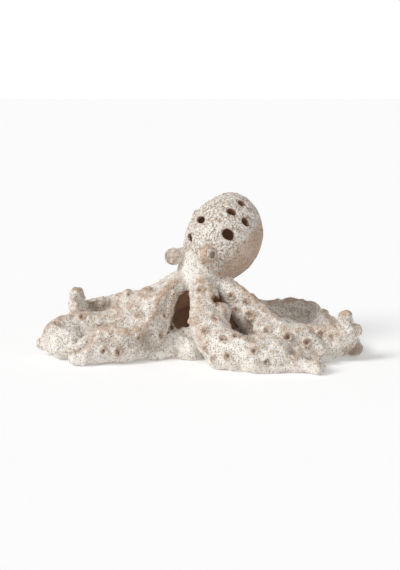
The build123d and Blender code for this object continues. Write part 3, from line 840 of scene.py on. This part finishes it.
for piece in pieces:
    nodeName = piece.data.materials[0].name[len("part_"):]
    piece.data.materials.clear()
    piece.data.materials.append(glazeMaterial)
    piece.name = nodeName + "_clay"
    focus(piece)
    bpy.ops.object.mode_set(mode="EDIT")
    bpy.ops.mesh.select_mode(type="EDGE")
    bpy.ops.mesh.select_all(action="DESELECT")
    bpy.ops.mesh.select_non_manifold(extend=False, use_wire=False, use_boundary=True, use_multi_face=False,
                                     use_non_contiguous=False, use_verts=False)
    bpy.ops.mesh.mark_sharp()
    bpy.ops.mesh.extrude_edges_indiv()
    bpy.ops.object.mode_set(mode="OBJECT")
    turned = np.zeros(len(piece.data.vertices), bool)
    piece.data.vertices.foreach_get("select", turned)
    way = np.zeros(len(piece.data.vertices) * 3, np.float32)
    piece.data.attributes["skinWay"].data.foreach_get("vector", way)
    writePoints(piece, readPoints(piece) - seam["turnIn"] * mm * turned[:, None] * way.reshape(-1, 3))
    brown = np.zeros(len(piece.data.vertices), np.float32)
    piece.data.attributes["hollowShare"].data.foreach_get("value", brown)
    fromThroat = np.linalg.norm(readPoints(piece) - np.array(placed(*seam["throat"])), axis=1)
    turned &= fromThroat < seam["throatRadius"] * mm
    piece.data.attributes["hollowShare"].data.foreach_set("value", np.maximum(brown, turned))
    bpy.ops.object.mode_set(mode="EDIT")
    bpy.ops.mesh.select_all(action="SELECT")
    bpy.ops.mesh.fill_holes(sides=0)
    bpy.ops.mesh.select_all(action="SELECT")
    bpy.ops.mesh.quads_convert_to_tris()
    bpy.ops.object.mode_set(mode="OBJECT")
    bpy.ops.object.shade_smooth()
    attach(piece, "root")
    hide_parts(nodeName)
    if nodeName.startswith("arm_"):
        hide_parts(nodeName.replace("arm_", "suckers_"))
print("pieces", len(pieces), sum(len(p.data.polygons) for p in pieces))

# Pupils: a ringed pellet pressed into the end of each eye knob, modelled once (millimetres)
pellet = {
    "radius": 5.4, "deep": 4.0, "rim": 1.2, "sunk": 0.9, "dome": 0.5, "proud": 1.8,
    "bevel": 0.45, "bevelSteps": 3, "voxel": 0.25, "grainSize": 1.6, "grainHigh": 0.5,
    "topFacing": 0.9, "centre": (2.9, 3.9),
    "looks": {"pupil_left": (-0.96, -0.25, 0.12), "pupil_right": (0.67, -0.74, -0.05)},
}
pelletGlaze = dict(glaze, white=tint(222, 212, 200), cream=tint(198, 184, 168), tan=tint(192, 174, 156),
                   rust=tint(112, 97, 84), dish=0.8)
bpy.ops.mesh.primitive_cylinder_add(vertices=around["pellet"], radius=pellet["radius"] * mm,
                                    depth=pellet["deep"] * mm)
pupil = bpy.context.object
pupil.data.polygons.foreach_set("select", [p.normal.z > pellet["topFacing"] for p in pupil.data.polygons])
focus(pupil)
bpy.ops.object.mode_set(mode="EDIT")
bpy.ops.mesh.select_mode(type="FACE")
bpy.ops.mesh.inset(thickness=pellet["rim"] * mm)
bpy.ops.transform.translate(value=(0, 0, -pellet["sunk"] * mm))
bpy.ops.mesh.inset(thickness=pellet["rim"] * mm)
bpy.ops.transform.translate(value=(0, 0, pellet["dome"] * mm))
bpy.ops.object.mode_set(mode="OBJECT")
applied(pupil, "BEVEL", width=pellet["bevel"] * mm, segments=pellet["bevelSteps"], limit_method="ANGLE")
applied(pupil, "REMESH", mode="VOXEL", voxel_size=pellet["voxel"] * mm)
roughened(pupil, "pelletGrain", pellet["grainSize"], pellet["grainHigh"])
centreShare = pupil.data.attributes.new("dishShare", "FLOAT", "POINT")
across = np.linalg.norm(readPoints(pupil)[:, :2], axis=1) / mm
centreShare.data.foreach_set("value", (1 - fade(across, pellet["centre"])).astype(np.float32))
pupil.data.materials.append(glazed("darkPellet", pelletGlaze))
bpy.ops.object.shade_smooth()
for pupilName, look in pellet["looks"].items():
    piece = bpy.data.objects.new(pupilName + "_pellet", pupil.data.copy())
    bpy.context.scene.collection.objects.link(piece)
    low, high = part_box(pupilName)
    piece.rotation_euler = Vector(look).to_track_quat("Z", "Y").to_euler()
    piece.location = (low + high) / 2 + Vector(look).normalized() * pellet["proud"] * mm
    focus(piece)
    bpy.ops.object.transform_apply()
    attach(piece, "root")
    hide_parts(pupilName)
bpy.data.objects.remove(pupil)
print("pupils set")

# Stage: pale floor, soft light, the camera where the photograph was taken from
ground = {"half": 4, "below": 0.3, "tone": 0.84, "glow": 0.2, "rough": 0.9, "gloss": 0.1}
bpy.ops.mesh.primitive_plane_add(size=2 * ground["half"], location=(0, 0, -ground["below"] * mm))
floor = bpy.context.object
floor.name = "floor"
floorMaterial = bpy.data.materials.new("paleFloor")
floorMaterial.use_nodes = True
floorMaterial.node_tree.nodes.clear()
floorFlow = Flow(floorMaterial.node_tree)
paint = floorFlow.node("ShaderNodeBsdfPrincipled", None, {
    "Base Color": (ground["tone"],) * 3 + (1,),
    "Roughness": ground["rough"],
    "Specular IOR Level": ground["gloss"],
    "Emission Color": (1, 1, 1, 1),
    "Emission Strength": ground["glow"],
})
floorFlow.node("ShaderNodeOutputMaterial", None, {"Surface": paint})
floor.data.materials.append(floorMaterial)

sky = {"seen": 1.0, "light": 0.46}
world = bpy.data.worlds.new("softWhite")
world.use_nodes = True
world.node_tree.nodes.clear()
air = Flow(world.node_tree)
fromCamera = air.node("ShaderNodeLightPath", out="Is Camera Ray")
dome = air.node("ShaderNodeBackground", None, {
    "Color": (1, 1, 1, 1),
    "Strength": sky["light"] + fromCamera * (sky["seen"] - sky["light"]),
})
air.node("ShaderNodeOutputWorld", None, {"Surface": dome})
bpy.context.scene.world = world

lamps = {
    "key": {"from": (-1.25, -0.75, 1.15), "strength": 2.2, "softness": 28},
    "fill": {"from": (1.0, -1.6, 0.6), "strength": 0.25, "softness": 60},
}
for lampName, lamp in lamps.items():
    bpy.ops.object.light_add(type="SUN", location=lamp["from"])
    light = bpy.context.object
    light.name = lampName
    light.data.energy = lamp["strength"]
    light.data.angle = math.radians(lamp["softness"])
    light.rotation_euler = Vector(lamp["from"]).to_track_quat("Z", "Y").to_euler()

camera = bpy.data.objects.new("camera", bpy.data.cameras.new("camera"))
bpy.context.scene.collection.objects.link(camera)
camera.location = viewPoint
camera.rotation_euler = (math.pi / 2 - tilt + math.atan(lens["raise"] / lens["distance"]), 0, 0)
camera.data.sensor_width = lens["sensor"]
camera.data.lens = lens["sensor"] * lens["distance"] / lens["pictureHigh"]
bpy.context.scene.camera = camera
bpy.context.scene.view_settings.view_transform = "Standard"

print("stage set")
